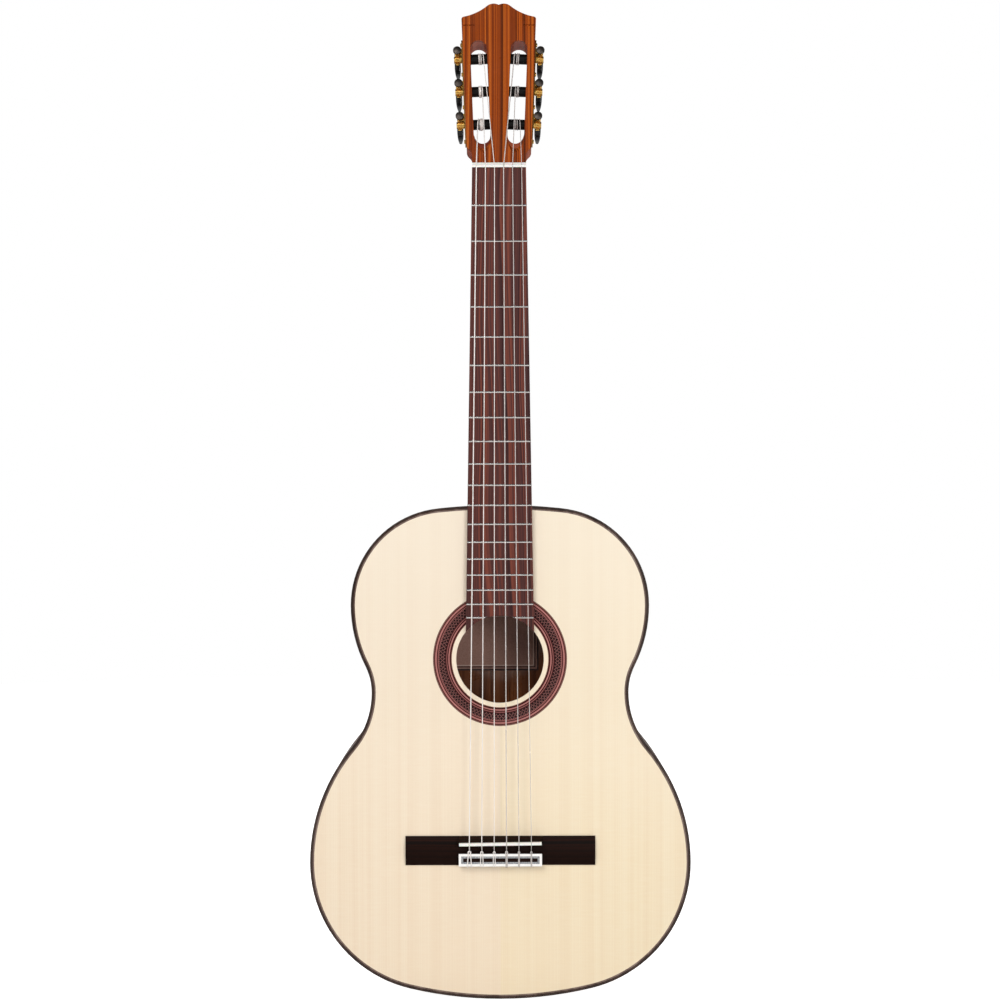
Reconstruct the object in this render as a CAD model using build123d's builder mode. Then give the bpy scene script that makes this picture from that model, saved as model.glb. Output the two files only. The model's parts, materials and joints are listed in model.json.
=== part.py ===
from build123d import *
import math
import os

# Classical guitar. Millimetres. The guitar stands upright: +Z runs up the neck, the soundboard
# faces -Y and +X is the treble side. The origin is the middle of the nut's front edge line, on
# the face that the fingerboard is glued to, so Y = 0 is also the soundboard's front face.

# Strings and scale
scale_length = 650.0
fret_count = 19
body_fret = 12
string_spacing_nut = 8.7
string_spacing_bridge = 11.9
string_height_nut = 1.4
string_height_body_fret = 3.9
string_bend_radius = 1.6
roller_string_x = (20.6, 16.0, 15.0)
roller_hole_x = (17.0, 19.6, 18.6)
string_diameters = (1.09, 0.91, 0.76, 1.02, 0.82, 0.71)
string_groove_clearance = 0.06

# Body outline, measured down from the body's top edge
body_length = 476.5
upper_half, upper_at = 144.0, 96.4
waist_half, waist_at = 124.0, 180.8
lower_half, lower_at = 183.8, 344.7
shoulder_turn = 5.84
tail_turn = 13.23
upper_waist_share = 0.688
waist_lower_share = 0.323

# Body walls
depth_neck_end = 92.0
depth_tail_end = 97.0
back_dome_radius = 5000.0
soundboard_thickness = 2.5
back_thickness = 2.6
rib_thickness = 2.2
binding_width, binding_height = 2.6, 6.0
purfling_width = 1.4
lining_width, lining_height = 7.0, 14.0
block_half_width = 34.0
foot_length = 28.0
tail_block_length = 14.0
slot_half_width = 6.0

# Soundhole and rosette
soundhole_radius = 42.3
last_fret_over_hole = 1.9
rosette_inner, mosaic_inner, mosaic_outer, rosette_outer = 46.6, 53.0, 59.2, 64.7
rosette_depth = 1.2

# Bracing
bar_width, bar_height = 8.0, 15.0
fan_width, fan_height = 5.0, 5.5
fan_offsets = (-3, -2, -1, 0, 1, 2, 3)
fan_spacing = 30.0
fan_splay = 4.0
centre_strip_width, centre_strip_thickness = 18.0, 2.4
label_width, label_height, label_thickness = 90.0, 60.0, 0.25
label_offset = -6.0

# Neck
nut_half_width = 26.0
body_fret_half_width = 31.0
fingerboard_thickness = 6.5
neck_depth_nut, neck_depth_body = 14.5, 17.0
nut_thickness = 4.8
fret_width, fret_height = 2.0, 1.0
tang_width, tang_depth = 0.6, 2.0
fret_end_inset = 0.4
nut_rise, nut_fall = 0.7, 2.2
heel_split = 20.0
heel_top = (31.0, 72.0)
heel_end = (11.0, 22.0)
heel_cap_thickness = 2.5
heel_section_start = 4.0
heel_overlap = 4.0

# Headstock
head_tilt = 15.0
veneer_thickness = 2.5
head_core_thickness = 17.5
throat_length = 8.0
throat_rise = 11.5
head_top_half, head_taper = 36.7, 2.28
board_start = 6.0
crest_notch_at = 169.2
crest_notch_angle, crest_flank_angle, crest_end_angle = 31.0, 42.0, 12.0
crest_bump_radius, crest_corner_radius = 9.7, 2.7
slot_width = 16.4
slot_start, slot_end = 23.0, 130.5
slot_wall = 7.4
scoop_width, scoop_angle, scoop_start = 16.4, 27.0, 11.5
notch_line_at, notch_line_length, notch_line_width, notch_line_depth = 147.0, 12.3, 1.3, 1.3

# Tuning machines
roller_at = (44.5, 79.6, 114.6)
roller_depth = 10.0
roller_diameter = 10.0
roller_socket = 6.0
string_hole_diameter = 1.8
stub_diameter, seat_across = 6.0, 4.2
running_clearance = 0.05
end_clearance = 0.3
plate_thickness, plate_height = 1.2, 15.5
plate_start, plate_end = 23.0, 133.4
gear_teeth = 14
axial_pitch = 1.9
addendum, dedendum = 0.56, 0.68
tooth_thickness = 0.8
flank_angle = 20.0
worm_pitch_radius = 2.2
worm_turns = 4.6
thread_sink = 0.15
journal_diameter = 2.6
gear_centre, gear_width, hub_diameter = 5.5, 3.6, 6.8
gear_screw_diameter, gear_screw_head = 2.4, 1.6
bearing_radius, bearing_width = 2.7, 2.2
collar_radius, collar_width = 3.9, 2.2
button_start, button_length = 18.0, 25.0
button_half_width, button_half_thickness = 8.0, 3.1
button_crown = 1.25
plate_screw_at = (27.0, 63.7, 98.7, 130.4)
plate_screw_head, plate_screw_diameter, plate_screw_length = 2.1, 2.0, 6.0

# Bridge
bridge_front, bridge_width = 5.9, 28.0
bridge_half_length, tie_half_length = 91.5, 40.0
wing_edge, wing_crown = 1.3, 3.6
carrier_height, trough_height, tie_height = 9.0, 3.2, 9.0
carrier_slope, carrier_end = 4.0, 9.4
saddle_thickness, saddle_slot_depth, saddle_slant = 3.0, 5.0, 1.0
saddle_compensation, saddle_clearance = 0.4, 0.4
border_width, border_thickness = 4.2, 0.8
tie_width = 12.0
tie_hole_height = 4.9
saddle_rise = 0.25
tie_hole_diameter = 1.9

os.makedirs("parts", exist_ok=True)


def sine(degrees):
    return math.sin(math.radians(degrees))


def cosine(degrees):
    return math.cos(math.radians(degrees))


def fret_z(number):
    """Height of a fret: the scale divided into equal semitones."""
    return -scale_length * (1 - 2 ** (-number / 12))


def board_half_width(z):
    """Half the neck's width at height z, in a straight taper."""
    return nut_half_width + (body_fret_half_width - nut_half_width) * z / body_top


def facing(y):
    """Sketch plane parallel to the soundboard, y behind its face: x across, y up the neck."""
    return Plane.XZ.offset(-y)


def two_arcs(turn, width, length):
    """Radii of two tangent arcs that turn through a right angle over width and length."""
    rise, run = sine(turn), cosine(turn)
    divisor = rise * run - (1 - rise) * (1 - run)
    first = (width * run - length * (1 - rise)) / divisor
    second = (length * rise - width * (1 - run)) / divisor
    return first, second


def bend(rise, length):
    """Turn, and summed radius, of an S of two arcs that steps sideways by rise over length."""
    turn = 2 * math.atan2(rise, length)
    return math.degrees(turn), length / math.sin(turn)


body_top = fret_z(body_fret)
body_bottom = body_top - body_length
hole_z = fret_z(fret_count) - soundhole_radius + last_fret_over_hole
edge_width = binding_width + purfling_width

shoulder_radius, bout_radius = two_arcs(shoulder_turn, upper_half, upper_at)
upper_turn, upper_sum = bend(upper_half - waist_half, waist_at - upper_at)
lower_turn, lower_sum = bend(lower_half - waist_half, lower_at - waist_at)
tail_radius, corner_radius = two_arcs(tail_turn, lower_half, body_length - lower_at)

# Radius, turn (clockwise is negative) of each arc from the neck joint round to the tail
body_arcs = (
    (shoulder_radius, -shoulder_turn),
    (bout_radius, shoulder_turn - 90),
    (upper_waist_share * upper_sum, -upper_turn),
    ((1 - upper_waist_share) * upper_sum, upper_turn),
    (waist_lower_share * lower_sum, lower_turn),
    ((1 - waist_lower_share) * lower_sum, -lower_turn),
    (corner_radius, tail_turn - 90),
    (tail_radius, -tail_turn),
)


def body_face(inset, mode=Mode.ADD):
    """The body's outline moved inwards by inset, as a face of the sketch being drawn."""
    with BuildLine() as outline:
        point, heading = Vector(0, body_top - inset), Vector(1, 0)
        for radius, turn in body_arcs:
            side = -inset if turn < 0 else inset
            arc = JernArc(point, heading, radius + side, turn)
            point, heading = arc @ 1, arc % 1
        mirror(about=Plane.YZ)
    make_face(outline.edges(), mode=mode)


def body_ring(outer, inner):
    """The band between two insets of the body's outline."""
    body_face(outer)
    body_face(inner, mode=Mode.SUBTRACT)


# The back is part of a large sphere that passes through both end depths
dome_reach = (2 * back_dome_radius * (depth_tail_end - depth_neck_end) + body_length**2) / (2 * body_length)
dome_z = body_top - dome_reach
dome_y = depth_neck_end - math.sqrt(back_dome_radius**2 - dome_reach**2)
deep = depth_tail_end + 2 * binding_height + 10


def keep_in_dome(inset):
    """Keep what lies in front of the back's outer surface moved inwards by inset."""
    with Locations((0, dome_y, dome_z)):
        Sphere(back_dome_radius - inset, mode=Mode.INTERSECT)


def cut_dome(inset):
    """Cut away what lies in front of the back's outer surface moved inwards by inset."""
    with Locations((0, dome_y, dome_z)):
        Sphere(back_dome_radius - inset, mode=Mode.SUBTRACT)


# --- Soundboard, rosette and edge ------------------------------------------------------------

for side, half in ((-1, "bass"), (1, "treble")):
    with BuildPart() as soundboard:
        with BuildSketch(facing(0)):
            body_face(edge_width)
            with Locations((-side * lower_half, body_bottom + body_length / 2)):
                Rectangle(2 * lower_half, 2 * body_length, mode=Mode.SUBTRACT)
            with Locations((0, hole_z)):
                Circle(soundhole_radius, mode=Mode.SUBTRACT)
        extrude(amount=-soundboard_thickness)
        with BuildSketch(facing(0)):
            with Locations((0, hole_z)):
                Circle(rosette_outer)
                Circle(rosette_inner, mode=Mode.SUBTRACT)
        extrude(amount=-rosette_depth, mode=Mode.SUBTRACT)
    soundboard.part.label = f"soundboard_{half}_half"
    export_step(soundboard.part, f"parts/soundboard_{half}_half.step")

with BuildPart() as rosette_mosaic:
    with BuildSketch(facing(0)):
        with Locations((0, hole_z)):
            Circle(mosaic_outer)
            Circle(mosaic_inner, mode=Mode.SUBTRACT)
    extrude(amount=-rosette_depth)
rosette_mosaic.part.label = "rosette_mosaic"
export_step(rosette_mosaic.part, "parts/rosette_mosaic.step")

with BuildPart() as rosette_rings:
    with BuildSketch(facing(0)):
        with Locations((0, hole_z)):
            Circle(rosette_outer)
            Circle(mosaic_outer, mode=Mode.SUBTRACT)
            Circle(mosaic_inner)
            Circle(rosette_inner, mode=Mode.SUBTRACT)
    extrude(amount=-rosette_depth)
rosette_rings.part.label = "rosette_rings"
export_step(rosette_rings.part, "parts/rosette_rings.step")

with BuildPart() as top_binding:
    with BuildSketch(facing(0)):
        body_ring(0, binding_width)
    extrude(amount=-binding_height)
top_binding.part.label = "top_binding"
export_step(top_binding.part, "parts/top_binding.step")

with BuildPart() as top_purfling:
    with BuildSketch(facing(0)):
        body_ring(binding_width, edge_width)
    extrude(amount=-soundboard_thickness)
top_purfling.part.label = "top_purfling"
export_step(top_purfling.part, "parts/top_purfling.step")

with BuildPart() as back_binding:
    with BuildSketch(facing(0)):
        body_ring(0, binding_width)
    extrude(amount=-deep)
    keep_in_dome(0)
    cut_dome(binding_height)
back_binding.part.label = "back_binding"
export_step(back_binding.part, "parts/back_binding.step")

# --- Back ------------------------------------------------------------------------------------

for side, half in ((-1, "bass"), (1, "treble")):
    with BuildPart() as back:
        with BuildSketch(facing(0)):
            body_face(binding_width)
            with Locations((-side * lower_half, body_bottom + body_length / 2)):
                Rectangle(2 * lower_half, 2 * body_length, mode=Mode.SUBTRACT)
        extrude(amount=-deep)
        keep_in_dome(0)
        cut_dome(back_thickness)
    back.part.label = f"back_{half}_half"
    export_step(back.part, f"parts/back_{half}_half.step")

# --- Blocks and ribs -------------------------------------------------------------------------

lining_inset = rib_thickness + lining_width

with BuildPart() as tail_block:
    with BuildSketch(facing(soundboard_thickness)):
        with Locations((0, body_bottom)):
            Rectangle(2 * block_half_width, 2 * (rib_thickness + tail_block_length))
        body_face(rib_thickness, mode=Mode.INTERSECT)
    extrude(amount=-deep)
    keep_in_dome(back_thickness)
    add(top_binding.part, mode=Mode.SUBTRACT)
    add(back_binding.part, mode=Mode.SUBTRACT)
tail_block.part.label = "tail_block"
export_step(tail_block.part, "parts/tail_block.step")

for side, half in ((-1, "bass"), (1, "treble")):
    with BuildPart() as rib:
        with BuildSketch(facing(binding_height)):
            body_ring(0, rib_thickness)
            with Locations((-side * (lower_half - slot_half_width), body_bottom + body_length / 2)):
                Rectangle(2 * lower_half, 2 * body_length, mode=Mode.SUBTRACT)
        extrude(amount=-deep)
        keep_in_dome(binding_height)
    rib.part.label = f"rib_{half}"
    export_step(rib.part, f"parts/rib_{half}.step")

with BuildPart() as end_graft:
    with BuildSketch(facing(binding_height)):
        body_ring(0, rib_thickness)
        with Locations((0, body_bottom)):
            Rectangle(2 * slot_half_width, 4 * rib_thickness, mode=Mode.INTERSECT)
    extrude(amount=-deep)
    keep_in_dome(binding_height)
end_graft.part.label = "end_graft"
export_step(end_graft.part, "parts/end_graft.step")

# --- Neck ------------------------------------------------------------------------------------


def half_ellipse(half, reach, foot):
    """Half an ellipse standing on the line y = foot, as a face of the sketch being drawn."""
    with BuildLine() as outline:
        EllipticalCenterArc((0, foot), half, reach, start_angle=0, arc_size=180)
        Line((half, foot), (-half, foot))
    make_face(outline.edges())


def neck_section(z, depth):
    """Half-ellipse cross-section of the neck behind the fingerboard."""
    with BuildSketch(Plane.XY.offset(z)) as section:
        half_ellipse(board_half_width(z), depth, 0)
    return section.sketch


def heel_section(share):
    """Half-ellipse section of the heel parallel to the soundboard; share 0 at the top, 1 at the cap."""
    half = heel_end[0] + (heel_top[0] - heel_end[0]) * (1 - share) ** 1.6
    reach = heel_end[1] + (heel_top[1] - heel_end[1]) * (1 - share) ** 2.2
    depth = heel_section_start + (heel_depth - heel_section_start) * share
    with BuildSketch(facing(depth)) as section:
        half_ellipse(half, reach + heel_overlap, body_top - heel_overlap)
    return section.sketch


heel_depth = depth_neck_end - heel_cap_thickness
head_thickness = veneer_thickness + head_core_thickness

# Headstock frame: origin on the veneer's face behind the nut, x across, y up the face, z out of it
head = Plane(
    origin=(0, -veneer_thickness / cosine(head_tilt), nut_thickness),
    x_dir=(1, 0, 0),
    z_dir=(0, -cosine(head_tilt), sine(head_tilt)),
)

with BuildPart() as body_blank:
    with BuildSketch(facing(-heel_overlap)):
        body_face(0)
    extrude(amount=-2 * deep)

with BuildPart() as neck_blank:
    neck_ends = ((body_top - heel_overlap, neck_depth_body), (nut_thickness, neck_depth_nut))
    loft([neck_section(z, depth) for z, depth in neck_ends], ruled=True)

with BuildPart() as heel_blank:
    loft([heel_section(share) for share in (0, 0.15, 0.35, 0.6, 1)])

with BuildPart() as neck_shaft:
    add(heel_blank.part)
    split(bisect_by=facing(heel_split), keep=Keep.TOP)
    add(neck_blank.part)
    add(body_blank.part, mode=Mode.SUBTRACT)
    split(bisect_by=head.offset(-head_thickness), keep=Keep.BOTTOM)
neck_shaft.part.label = "neck_shaft"
export_step(neck_shaft.part, "parts/neck_shaft.step")

with BuildPart() as heel_block:
    add(heel_blank.part)
    split(bisect_by=facing(heel_split), keep=Keep.BOTTOM)
    add(body_blank.part, mode=Mode.SUBTRACT)
    with BuildSketch(facing(heel_split)):
        with Locations((0, body_top)):
            Rectangle(2 * slot_half_width, 2 * (rib_thickness + 1))
        body_face(0, mode=Mode.INTERSECT)
    extrude(amount=-(deep - heel_split))
    with BuildSketch(facing(soundboard_thickness)):
        with Locations((0, body_top)):
            Rectangle(2 * block_half_width, 2 * (rib_thickness + foot_length))
        body_face(rib_thickness, mode=Mode.INTERSECT)
    extrude(amount=-deep)
    keep_in_dome(back_thickness)
    add(top_binding.part, mode=Mode.SUBTRACT)
    add(back_binding.part, mode=Mode.SUBTRACT)
heel_block.part.label = "heel_block"
export_step(heel_block.part, "parts/heel_block.step")

with BuildPart() as heel_cap:
    with BuildSketch(facing(heel_depth)):
        half_ellipse(heel_end[0], heel_end[1] + heel_overlap, body_top - heel_overlap)
    extrude(amount=-heel_cap_thickness)
    add(body_blank.part, mode=Mode.SUBTRACT)
heel_cap.part.label = "heel_cap"
export_step(heel_cap.part, "parts/heel_cap.step")

# --- Linings and braces ----------------------------------------------------------------------

with BuildPart() as linings:
    with BuildSketch(facing(soundboard_thickness)):
        body_ring(rib_thickness, lining_inset)
    extrude(amount=-lining_height)
    with BuildSketch(facing(soundboard_thickness + 2 * lining_height)):
        body_ring(rib_thickness, lining_inset)
    extrude(amount=-deep)
    with BuildSketch(facing(0)):
        for block_z in (body_top, body_bottom):
            with Locations((0, block_z)):
                Rectangle(2 * block_half_width, 4 * lining_inset)
    extrude(amount=-2 * deep, mode=Mode.SUBTRACT)
    keep_in_dome(back_thickness)
    with BuildSketch(facing(soundboard_thickness + lining_height)):
        body_face(0)
    extrude(amount=-(depth_neck_end - 2 * lining_height - back_thickness - soundboard_thickness),
            mode=Mode.SUBTRACT)
    add(top_binding.part, mode=Mode.SUBTRACT)
    add(back_binding.part, mode=Mode.SUBTRACT)
linings.part.label = "linings"
export_step(linings.part, "parts/linings.step")

upper_bar_z = hole_z + rosette_outer + bar_width
lower_bar_z = hole_z - rosette_outer - bar_width

with BuildPart() as harmonic_bars:
    with BuildSketch(facing(soundboard_thickness)):
        for bar_z in (upper_bar_z, lower_bar_z):
            with Locations((0, bar_z)):
                Rectangle(2 * lower_half, bar_width)
        body_face(lining_inset, mode=Mode.INTERSECT)
    extrude(amount=-bar_height)
harmonic_bars.part.label = "harmonic_bars"
export_step(harmonic_bars.part, "parts/harmonic_bars.step")

with BuildPart() as fan_braces:
    with BuildSketch(facing(soundboard_thickness)):
        fan_top = lower_bar_z - bar_width
        fan_bottom = body_bottom + rib_thickness + tail_block_length + bar_width
        for step in fan_offsets:
            with Locations(Location((step * fan_spacing, (fan_top + fan_bottom) / 2), step * fan_splay)):
                Rectangle(fan_width, fan_top - fan_bottom)
        body_face(lining_inset + bar_width, mode=Mode.INTERSECT)
    extrude(amount=-fan_height)
fan_braces.part.label = "fan_braces"
export_step(fan_braces.part, "parts/fan_braces.step")

back_brace_z = (body_top - upper_at * 0.7, body_top - waist_at * 1.15, body_top - lower_at * 1.05)
strip_depth = back_thickness + centre_strip_thickness

with BuildPart() as back_braces:
    with BuildSketch(facing(depth_neck_end - bar_height)):
        for brace_z in back_brace_z:
            with Locations((0, brace_z)):
                Rectangle(2 * lower_half, bar_width)
        body_face(lining_inset, mode=Mode.INTERSECT)
    extrude(amount=-deep)
    keep_in_dome(back_thickness)
back_braces.part.label = "back_braces"
export_step(back_braces.part, "parts/back_braces.step")

label_z = (back_brace_z[0] + back_brace_z[1]) / 2

with BuildPart() as label:
    with BuildSketch(facing(0)):
        with Locations((label_offset, label_z)):
            Rectangle(label_width, label_height)
    extrude(amount=-deep)
    keep_in_dome(back_thickness)
    cut_dome(back_thickness + label_thickness)
label.part.label = "label"
export_step(label.part, "parts/label.step")

with BuildPart() as centre_strip:
    with BuildSketch(facing(0)):
        strip_top = body_top - rib_thickness - foot_length
        strip_bottom = body_bottom + rib_thickness + tail_block_length
        with Locations((0, (strip_top + strip_bottom) / 2)):
            Rectangle(centre_strip_width, strip_top - strip_bottom)
        for brace_z in back_brace_z:
            with Locations((0, brace_z)):
                Rectangle(2 * centre_strip_width, bar_width, mode=Mode.SUBTRACT)
        with Locations((label_offset, label_z)):
            Rectangle(label_width, label_height, mode=Mode.SUBTRACT)
    extrude(amount=-deep)
    keep_in_dome(back_thickness)
    cut_dome(strip_depth)
centre_strip.part.label = "back_centre_strip"
export_step(centre_strip.part, "parts/back_centre_strip.step")

# --- Fingerboard and frets -------------------------------------------------------------------

with BuildPart() as fingerboard:
    with BuildSketch(facing(0)):
        with BuildLine():
            Polyline(
                (-board_half_width(0), 0),
                (board_half_width(0), 0),
                (board_half_width(hole_z), hole_z),
                (-board_half_width(hole_z), hole_z),
                close=True,
            )
        make_face()
        with Locations((0, hole_z)):
            Circle(soundhole_radius, mode=Mode.SUBTRACT)
    extrude(amount=fingerboard_thickness)
    with BuildSketch(Plane.YZ):
        for number in range(1, fret_count + 1):
            with Locations((-fingerboard_thickness, fret_z(number))):
                Rectangle(2 * tang_depth, tang_width)
    extrude(amount=2 * body_fret_half_width, both=True, mode=Mode.SUBTRACT)
fingerboard.part.label = "fingerboard"
export_step(fingerboard.part, "parts/fingerboard.step")

with BuildPart() as frets:
    for number in range(1, fret_count + 1):
        with BuildSketch(Plane.YZ):
            with Locations((-fingerboard_thickness, fret_z(number))):
                Ellipse(fret_height, fret_width / 2)
                Rectangle(2 * fret_height, fret_width, align=(Align.MIN, Align.CENTER), mode=Mode.SUBTRACT)
                Rectangle(tang_depth, tang_width, align=(Align.MIN, Align.CENTER))
        extrude(amount=board_half_width(fret_z(number)) - fret_end_inset, both=True)
    with BuildSketch(facing(0)):
        with Locations((0, hole_z)):
            Circle(soundhole_radius + fret_end_inset)
    extrude(amount=2 * fingerboard_thickness, mode=Mode.SUBTRACT)
frets.part.label = "frets"
export_step(frets.part, "parts/frets.step")

# --- Headstock -------------------------------------------------------------------------------

bump_turn = crest_notch_angle + crest_flank_angle
flank_turn = crest_flank_angle - crest_end_angle
corner_turn = 90 + head_taper - crest_end_angle


bump_reach = crest_bump_radius * (sine(crest_notch_angle) + sine(crest_flank_angle))
corner_reach = crest_corner_radius * (cosine(head_taper) - sine(crest_end_angle))
flank_reach = head_top_half - bump_reach - corner_reach
flank_radius = flank_reach / (sine(crest_flank_angle) - sine(crest_end_angle))
crest_corner_at = (
    crest_notch_at
    - crest_bump_radius * (cosine(crest_notch_angle) - cosine(crest_flank_angle))
    - flank_radius * (cosine(crest_end_angle) - cosine(crest_flank_angle))
    - crest_corner_radius * (cosine(crest_end_angle) + sine(head_taper))
)


def side_half_width(along):
    """Half the headstock's width between its throat and its crest, in a straight taper."""
    return head_top_half - math.tan(math.radians(head_taper)) * (crest_corner_at - along)


throat_top = throat_length + throat_rise
throat_turn, throat_sum = bend(side_half_width(throat_top) - nut_half_width, throat_rise)


def head_face(start):
    """The headstock's outline from start up to the crest, as a face of the sketch being drawn."""
    with BuildLine() as outline:
        heading = Vector(cosine(crest_notch_angle), sine(crest_notch_angle))
        bump = JernArc((0, crest_notch_at), heading, crest_bump_radius, -bump_turn)
        flank = JernArc(bump @ 1, bump % 1, flank_radius, flank_turn)
        corner = JernArc(flank @ 1, flank % 1, crest_corner_radius, -corner_turn)
        flare_top = Vector(side_half_width(throat_top), throat_top)
        Line(corner @ 1, flare_top)
        flare = JernArc(flare_top, corner % 1, throat_sum / 2, head_taper - throat_turn)
        hollow = JernArc(flare @ 1, flare % 1, throat_sum / 2, throat_turn)
        Polyline(hollow @ 1, ((hollow @ 1).X, start), (0, start))
        mirror(about=Plane.YZ)
    make_face(outline.edges())


def slot_face(side, mode=Mode.ADD):
    """One string slot of the headstock, parallel to its side."""
    middle = (slot_start + slot_end) / 2
    across = side_half_width(middle) - (slot_wall + slot_width / 2) / cosine(head_taper)
    with Locations((side * across, middle)):
        SlotOverall(slot_end - slot_start, slot_width, rotation=90 - side * head_taper, mode=mode)


def head_point(across, along, height):
    """World point from headstock coordinates."""
    return head.from_local_coords(Vector(across, along, height))


def rear_corner_section():
    """Cross-section of the headstock's core where its flat board begins, with rounded rear corners."""
    plane = Plane(head_point(0, board_start, -veneer_thickness), x_dir=head.x_dir, z_dir=head.y_dir)
    half, depth = nut_half_width, head_core_thickness
    with BuildSketch(plane) as section:
        with BuildLine():
            Spline(
                (half, 0),
                (0.985 * half, 0.6 * depth),
                (0.87 * half, 0.93 * depth),
                (0, depth),
                (-0.87 * half, 0.93 * depth),
                (-0.985 * half, 0.6 * depth),
                (-half, 0),
                tangents=((0, 1), (0, -1)),
            )
            Line((-half, 0), (half, 0))
        make_face()
    return section.sketch


with BuildPart() as scoops:
    for side in (-1, 1):
        radius = scoop_width / 2
        across = side_half_width(scoop_start) - slot_wall - slot_width / 2
        along = head.y_dir * cosine(scoop_angle) - head.z_dir * sine(scoop_angle)
        start = scoop_start + radius * sine(scoop_angle)
        centre = head_point(side * across, start, radius * cosine(scoop_angle))
        with BuildSketch(Plane(centre - along * slot_width, x_dir=head.x_dir, z_dir=along)):
            Circle(radius)
        extrude(amount=2 * slot_width)

with BuildPart() as throat:
    loft([neck_section(-1.5 * throat_length, neck_depth_nut), rear_corner_section()])
    with BuildSketch(Plane.YZ):
        board_edge = head_point(0, board_start, -veneer_thickness)
        with BuildLine():
            Polyline((0, -1.5 * throat_length), (0, nut_thickness), (board_edge.Y, board_edge.Z), close=True)
        make_face()
    extrude(amount=nut_half_width, both=True)

with BuildPart() as headstock:
    add(neck_blank.part)
    add(throat.part)
    split(bisect_by=head.offset(-head_thickness), keep=Keep.TOP)
    with BuildSketch(head.offset(-veneer_thickness)):
        head_face(board_start)
        for side in (-1, 1):
            slot_face(side, mode=Mode.SUBTRACT)
    extrude(amount=-head_core_thickness)
    add(scoops.part, mode=Mode.SUBTRACT)

with BuildPart() as veneer:
    with BuildSketch(head):
        head_face(-veneer_thickness)
        for side in (-1, 1):
            slot_face(side, mode=Mode.SUBTRACT)
    extrude(amount=-veneer_thickness)
    with BuildSketch(head):
        for side in (-1, 1):
            with Locations((side * side_half_width(notch_line_at), notch_line_at)):
                Rectangle(2 * notch_line_length, notch_line_width)
    extrude(amount=-notch_line_depth, mode=Mode.SUBTRACT)
    split(bisect_by=Plane.XY.offset(nut_thickness), keep=Keep.TOP)
    add(scoops.part, mode=Mode.SUBTRACT)
veneer.part.label = "headstock_veneer"
export_step(veneer.part, "parts/headstock_veneer.step")

# --- Tuning machines -------------------------------------------------------------------------

centre_distance = axial_pitch * gear_teeth / (2 * math.pi) + worm_pitch_radius
gear_pitch_radius = centre_distance - worm_pitch_radius
lead_angle = math.degrees(math.atan2(axial_pitch, 2 * math.pi * worm_pitch_radius))
worm_span = worm_turns * axial_pitch / 2
roller_radius = roller_diameter / 2
socket_depth = slot_wall + slot_width + roller_socket
gear_inner, gear_outer = gear_centre - gear_width / 2, gear_centre + gear_width / 2
flank_tangent = math.tan(math.radians(flank_angle))


def tuner_frame(side, along):
    """Frame where a roller's axis leaves the headstock's side: y to the crest, z out of the face."""
    return Plane(
        head_point(side * side_half_width(along), along, -roller_depth),
        x_dir=head.x_dir * cosine(head_taper) - head.y_dir * side * sine(head_taper),
        z_dir=head.z_dir,
    )


def axle_plane(frame, side, out):
    """Plane square to the roller, out from the headstock's side face, facing outwards."""
    origin = frame.from_local_coords(Vector(side * out, 0, 0))
    return Plane(origin, x_dir=frame.y_dir, z_dir=frame.x_dir * side)


def worm_plane(frame, side, height):
    """Plane square to the worm at a height over the roller's axis, with x towards the gear."""
    origin = frame.from_local_coords(Vector(side * gear_centre, centre_distance, height))
    return Plane(origin, x_dir=-frame.y_dir, z_dir=frame.z_dir)


def along_side(along):
    """Distance along the headstock's side from the middle roller."""
    return (along - roller_at[1]) / cosine(head_taper)


tuners = [
    (side, f"{half}_{number + 1}", tuner_frame(side, along), number)
    for side, half in ((-1, "bass"), (1, "treble"))
    for number, along in enumerate(roller_at)
]

with BuildPart() as roller_holes:
    for side, place, frame, number in tuners:
        with BuildSketch(axle_plane(frame, side, -socket_depth)):
            Circle(roller_radius + running_clearance)
        extrude(amount=2 * socket_depth)

with BuildPart() as plate_screws:
    for side in (-1, 1):
        frame = tuner_frame(side, roller_at[1])
        for along in plate_screw_at:
            with BuildSketch(axle_plane(frame, side, -plate_screw_length)):
                with Locations((along_side(along), 0)):
                    Circle(plate_screw_diameter / 2)
            extrude(amount=plate_screw_length + plate_thickness)
            with BuildSketch(axle_plane(frame, side, plate_thickness)):
                with Locations((along_side(along), 0)):
                    Circle(plate_screw_head)
            extrude(amount=plate_screw_head / 2, taper=20)
plate_screws.part.label = "plate_screws"
export_step(plate_screws.part, "parts/plate_screws.step")

with BuildPart() as bored_headstock:
    add(headstock.part)
    add(roller_holes.part, mode=Mode.SUBTRACT)
    add(plate_screws.part, mode=Mode.SUBTRACT)
bored_headstock.part.label = "headstock"
export_step(bored_headstock.part, "parts/headstock.step")

for side, half in ((-1, "bass"), (1, "treble")):
    with BuildPart() as plate:
        with BuildSketch(axle_plane(tuner_frame(side, roller_at[1]), side, 0)):
            with Locations((along_side((plate_start + plate_end) / 2), 0)):
                RectangleRounded(plate_end - plate_start, plate_height, plate_height / 4)
            for along in roller_at:
                with Locations((along_side(along), 0)):
                    Circle(stub_diameter / 2 + running_clearance, mode=Mode.SUBTRACT)
        extrude(amount=plate_thickness)
        add(plate_screws.part, mode=Mode.SUBTRACT)
    plate.part.label = f"tuner_plate_{half}"
    export_step(plate.part, f"parts/tuner_plate_{half}.step")

with BuildPart() as worm_bearings:
    for side, place, frame, number in tuners:
        for base in (worm_span + running_clearance, -worm_span - running_clearance - bearing_width):
            with BuildSketch(worm_plane(frame, side, base)):
                Circle(bearing_radius)
                stand = gear_centre - plate_thickness
                with Locations((0, -side * stand / 2)):
                    Rectangle(2 * bearing_radius, stand)
                Circle(journal_diameter / 2 + running_clearance, mode=Mode.SUBTRACT)
            extrude(amount=bearing_width)
worm_bearings.part.label = "worm_bearings"
export_step(worm_bearings.part, "parts/worm_bearings.step")

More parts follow.
